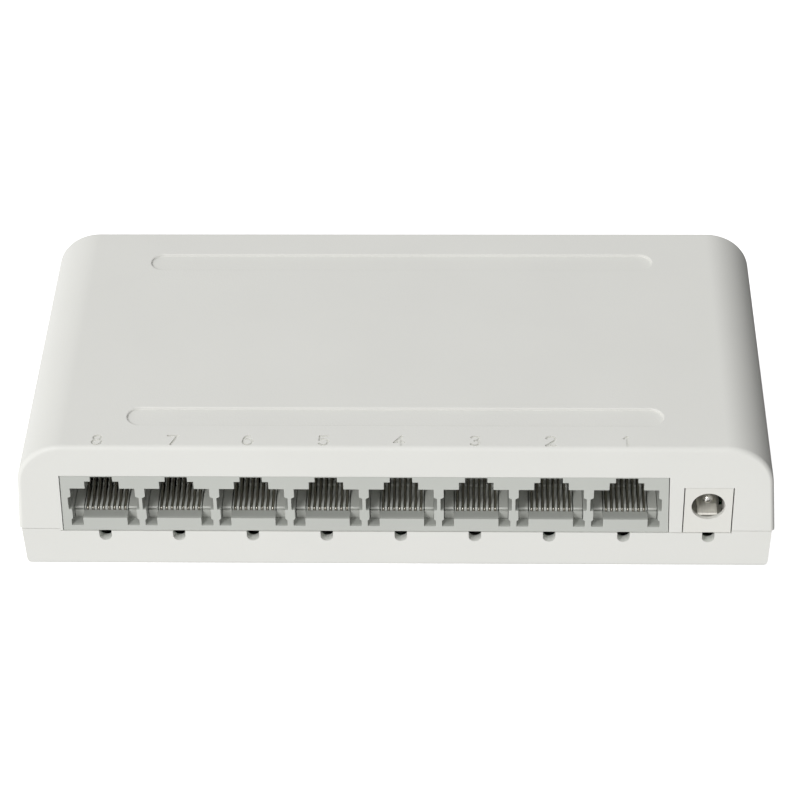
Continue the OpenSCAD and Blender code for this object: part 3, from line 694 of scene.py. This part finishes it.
FLOOR_HALF = 3000
FLOOR_GLOW = 0.7
WALL_LEVEL = 0.76
TABLE_LEVEL = 1.15
DARK_SHARE = 0.04
DARK_SIDE = (0.93, 0.25, -0.27)
TABLE_EDGE = (-0.2, 0.1)     # heights of a direction between which the table gives way to the walls
DARK_EDGE = (0.12, 0.6)      # shares of the dark side in a direction between which the light falls off
LAMP_AT = (-0.51, -0.83, 0.79)
LAMP_TARGET = (0, 0, 0.02)
LAMP_SIZE = 0.3
LAMP_WATTS = 4.8
CAMERA_AT = (0.01627, -0.42026, 0.3556)
CAMERA_YAW = -0.03837
CAMERA_PITCH = 0.68093
CAMERA_ROLL = -0.02182
CAMERA_LENS = 123.64


def make_floor():
    corners = [(-1, -1), (1, -1), (1, 1), (-1, 1)]
    floor = mesh_object("floor", [(x * FLOOR_HALF, y * FLOOR_HALF, 0) for x, y in corners], [(0, 1, 2, 3)])
    material, tree, bsdf = shader("pale_floor", (0.92, 0.92, 0.92), 0.9)
    tree.links.new(
        spread(tree, noise(tree, 3.0), (0.90, 0.90, 0.90), (0.93, 0.93, 0.93), colour=True),
        bsdf.inputs["Base Color"],
    )
    bsdf.inputs["Emission Color"].default_value = (1, 1, 1, 1)
    bsdf.inputs["Emission Strength"].default_value = FLOOR_GLOW
    floor.data.materials.append(material)
    # the floor is seen but lights nothing: the lamp and the sky alone light the object
    floor.visible_diffuse = False
    floor.visible_glossy = False


def make_sky():
    """White walls all round with a brighter table below, and a dark wall on the right."""
    world = bpy.data.worlds.new("studio")
    bpy.context.scene.world = world
    world.use_nodes = True
    tree = world.node_tree
    background = tree.nodes["Background"]
    place = tree.nodes.new("ShaderNodeTexCoord")
    split = tree.nodes.new("ShaderNodeSeparateXYZ")
    tree.links.new(place.outputs["Generated"], split.inputs["Vector"])
    lean = tree.nodes.new("ShaderNodeVectorMath")
    lean.operation = "DOT_PRODUCT"
    lean.inputs[1].default_value = Vector(DARK_SIDE).normalized()
    tree.links.new(place.outputs["Generated"], lean.inputs[0])
    level = tree.nodes.new("ShaderNodeMath")
    level.operation = "MULTIPLY"
    tree.links.new(ramp(tree, split.outputs["Z"], *TABLE_EDGE, TABLE_LEVEL, WALL_LEVEL), level.inputs[0])
    tree.links.new(ramp(tree, lean.outputs["Value"], *DARK_EDGE, 1.0, DARK_SHARE), level.inputs[1])
    tree.links.new(level.outputs["Value"], background.inputs["Strength"])
    background.inputs["Color"].default_value = (1.0, 1.0, 0.995, 1)


def make_lamp(name, place, target, size, watts):
    light = bpy.data.lights.new(name, "AREA")
    light.shape = "DISK"
    light.size = size
    light.energy = watts
    lamp = bpy.data.objects.new(name, light)
    bpy.context.scene.collection.objects.link(lamp)
    lamp.location = place
    lamp.rotation_euler = (Vector(target) - Vector(place)).to_track_quat("-Z", "Y").to_euler()


def make_camera():
    """Looks along +Y, turned by the yaw, tipped down by the pitch and rolled a little."""
    data = bpy.data.cameras.new("camera")
    data.lens = CAMERA_LENS
    data.sensor_width = 36
    data.clip_start = 0.01
    data.clip_end = 20
    camera = bpy.data.objects.new("camera", data)
    bpy.context.scene.collection.objects.link(camera)
    forward = Vector((
        math.sin(CAMERA_YAW) * math.cos(CAMERA_PITCH),
        math.cos(CAMERA_YAW) * math.cos(CAMERA_PITCH),
        -math.sin(CAMERA_PITCH),
    ))
    level = Vector((math.cos(CAMERA_YAW), -math.sin(CAMERA_YAW), 0))
    upright = level.cross(forward)
    right = level * math.cos(CAMERA_ROLL) + upright * math.sin(CAMERA_ROLL)
    up = right.cross(forward)
    turn = Matrix((right, up, -forward)).transposed()
    camera.matrix_world = Matrix.Translation(CAMERA_AT) @ turn.to_4x4()
    bpy.context.scene.camera = camera


make_floor()
make_sky()
make_lamp("key", LAMP_AT, LAMP_TARGET, LAMP_SIZE, LAMP_WATTS)
make_camera()
bpy.context.scene.view_settings.view_transform = "Standard"

bpy.context.view_layer.update()
